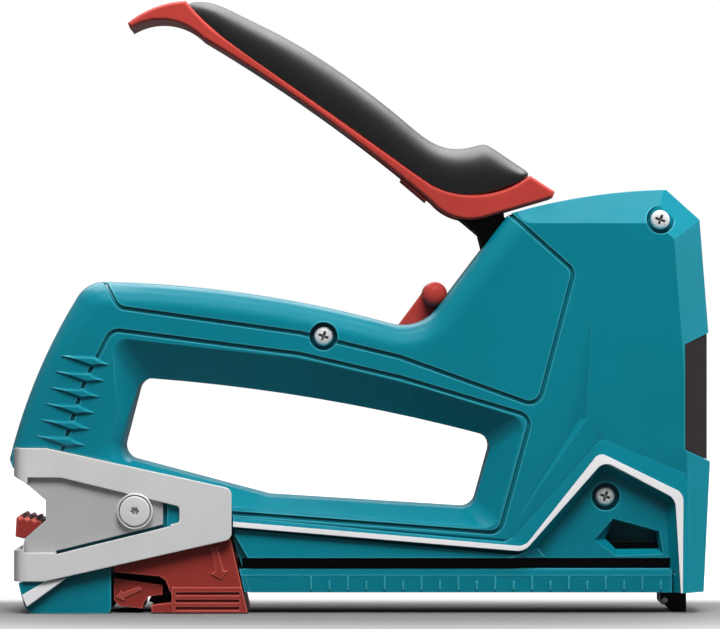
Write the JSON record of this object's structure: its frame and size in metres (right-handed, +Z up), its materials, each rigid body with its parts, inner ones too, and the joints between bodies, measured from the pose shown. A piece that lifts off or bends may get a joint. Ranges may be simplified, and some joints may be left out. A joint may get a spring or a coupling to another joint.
{
  "type": "staple gun",
  "caption": "Hand staple gun with a squeeze lever over a closed grip, a bottom-loading staple magazine, a spring-driven blade and a steel staple remover at the rear.",
  "frame": {"origin": "centre of the nose's working face, where the staple leaves, in the plane that the nose and the rear foot stand on", "axes": "+X along the magazine towards the nose, +Z up, +Y to the right-hand half of the housing"},
  "size_m": [0.1908, 0.0372, 0.1666],
  "materials": {
    "housing": "fine-grained teal moulding",
    "lever_red": "satin red moulding",
    "magazine_red": "satin dark red moulding",
    "grip_black": "soft black grip with a broad sheen",
    "trim": "light grey stripe",
    "badge": "bare dark plate",
    "bright_steel": "bright bead-blasted strip steel",
    "dark_steel": "blackened strip steel",
    "plain_steel": "ground steel",
    "screw_zinc": "bright zinc",
    "bumper_rubber": "black rubber"
  },
  "bodies": {
    "housing": {"left_housing": "housing", "right_housing": "housing", "housing_screws": "screw_zinc", "trim_stripes": "trim", "front_badge": "badge", "staple_remover": "bright_steel", "remover_screws": "screw_zinc", "lever_pivot_pin": "plain_steel", "drive_spring": "plain_steel", "spring_seat": "plain_steel", "bumper": "bumper_rubber", "nose": "dark_steel", "magazine_pin": "plain_steel", "magazine_channel": "dark_steel", "lock_pin": "plain_steel", "release_pin": "plain_steel"},
    "lever": {"lever_arm": "dark_steel", "lever_bush": "plain_steel", "lever_shell": "lever_red", "lever_rivets": "plain_steel", "lever_grip": "grip_black"},
    "drive": {"plunger": "plain_steel", "plunger_pin": "plain_steel", "driver_blade": "plain_steel", "blade_screw": "plain_steel"},
    "lock": {"lever_lock": "lever_red"},
    "magazine": {"magazine_rail": "plain_steel", "magazine_end": "magazine_red", "pusher_spring": "plain_steel"},
    "pusher": {"pusher_cap": "magazine_red", "pusher_rod": "plain_steel"},
    "follower": {"staple_follower": "plain_steel"},
    "release": {"release_lever": "magazine_red"}
  },
  "joints": [
    {"name": "lever_squeeze", "type": "hinge", "parent": "housing", "child": "lever", "pos_m": [-0.0389, 0, 0.0769], "axis": [0, -1, 0], "range_deg": [0, 28], "stiffness_Nm_per_rad": 2, "springref_deg": -11.46},
    {"name": "plunger_lift", "type": "slide", "parent": "housing", "child": "drive", "axis": [0, 0, 1], "range_m": [0, 0.01795], "deforming": ["drive_spring"]},
    {"name": "lock_swing", "type": "hinge", "parent": "housing", "child": "lock", "pos_m": [-0.076, 0, 0.074], "axis": [0, -1, 0], "range_deg": [0, 22]},
    {"name": "magazine_swing", "type": "hinge", "parent": "housing", "child": "magazine", "pos_m": [-0.0037, 0, 0.0032], "axis": [0, -1, 0], "range_deg": [0, 18]},
    {"name": "pusher_pull", "type": "slide", "parent": "magazine", "child": "pusher", "axis": [-1, 0, 0], "range_m": [0, 0.095]},
    {"name": "follower_travel", "type": "slide", "parent": "magazine", "child": "follower", "axis": [-1, 0, 0], "range_m": [0, 0.09], "stiffness_N_per_m": 60, "springref_m": -0.02, "deforming": ["pusher_spring"]},
    {"name": "release_press", "type": "hinge", "parent": "housing", "child": "release", "pos_m": [-0.163, 0, 0.0136], "axis": [0, -1, 0], "range_deg": [0, 6], "stiffness_Nm_per_rad": 0.1, "springref_deg": -8.59}
  ],
  "couplings": [
    {"joint": "plunger_lift", "follows": "lever_squeeze", "m_per_rad": 0.036632}
  ]
}
